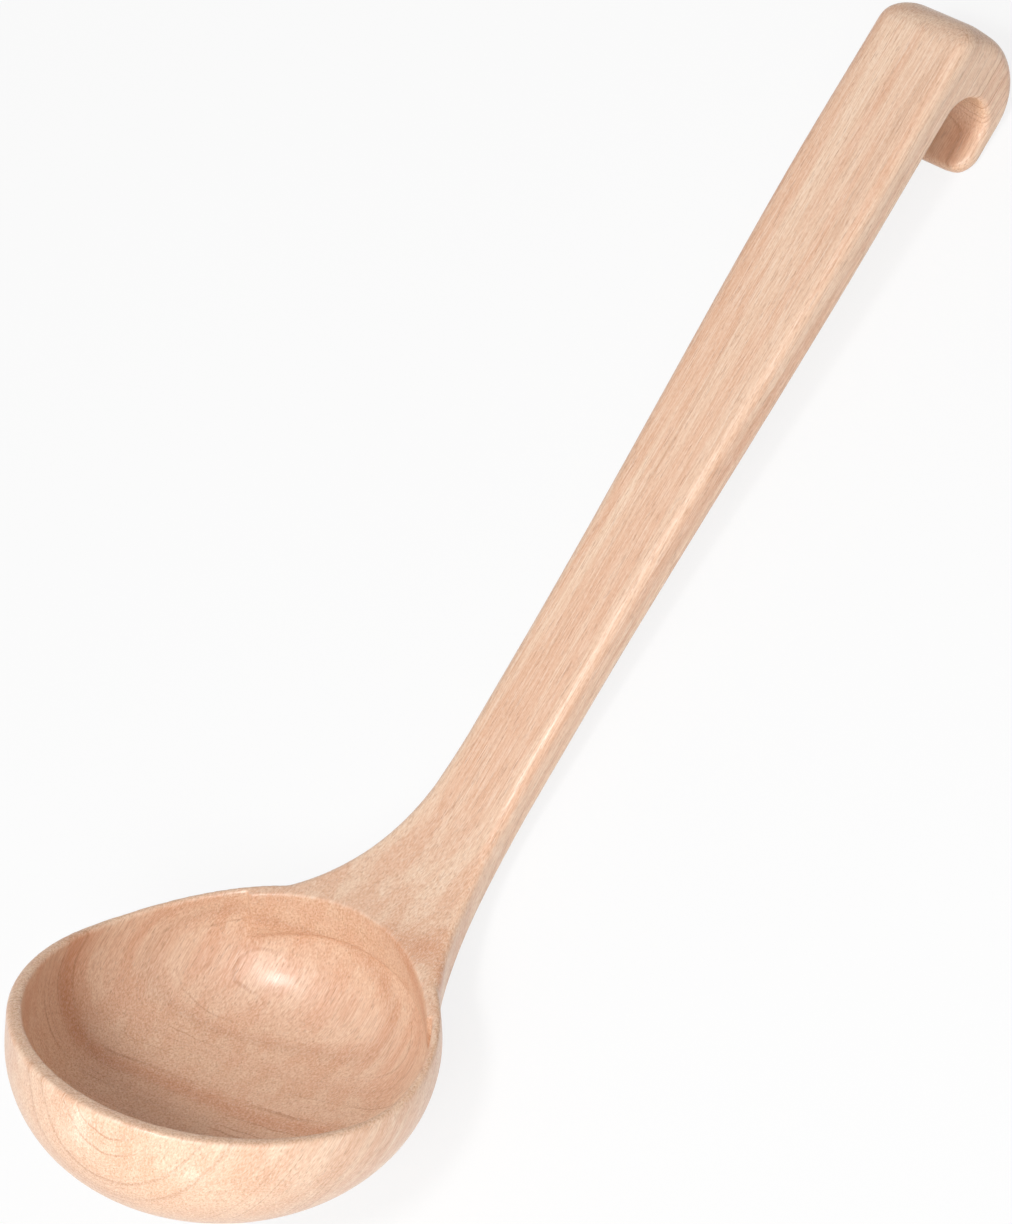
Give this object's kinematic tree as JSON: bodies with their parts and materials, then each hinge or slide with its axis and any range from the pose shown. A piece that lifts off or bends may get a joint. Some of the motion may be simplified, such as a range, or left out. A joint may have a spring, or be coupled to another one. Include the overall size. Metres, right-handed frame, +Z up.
{
  "type": "soup ladle",
  "caption": "One-piece carved wooden soup ladle: a round bowl whose rim sweeps up into a flared neck, and a flat handle that curls back into a hanging hook.",
  "frame": {"origin": "on the table under the middle of the ladle's box, as it lies with bowl and hook touching the table", "axes": "+X from the bowl to the hook, +Z up, +Y to the left of the handle seen from the hook; the handle's middle plane is Y = 0"},
  "size_m": [0.2868, 0.085, 0.0723],
  "materials": {
    "wood": "pale close-grained hardwood, sanded smooth with a satin clear coat"
  },
  "bodies": {
    "root": {"ladle": "wood"}
  },
  "joints": []
}
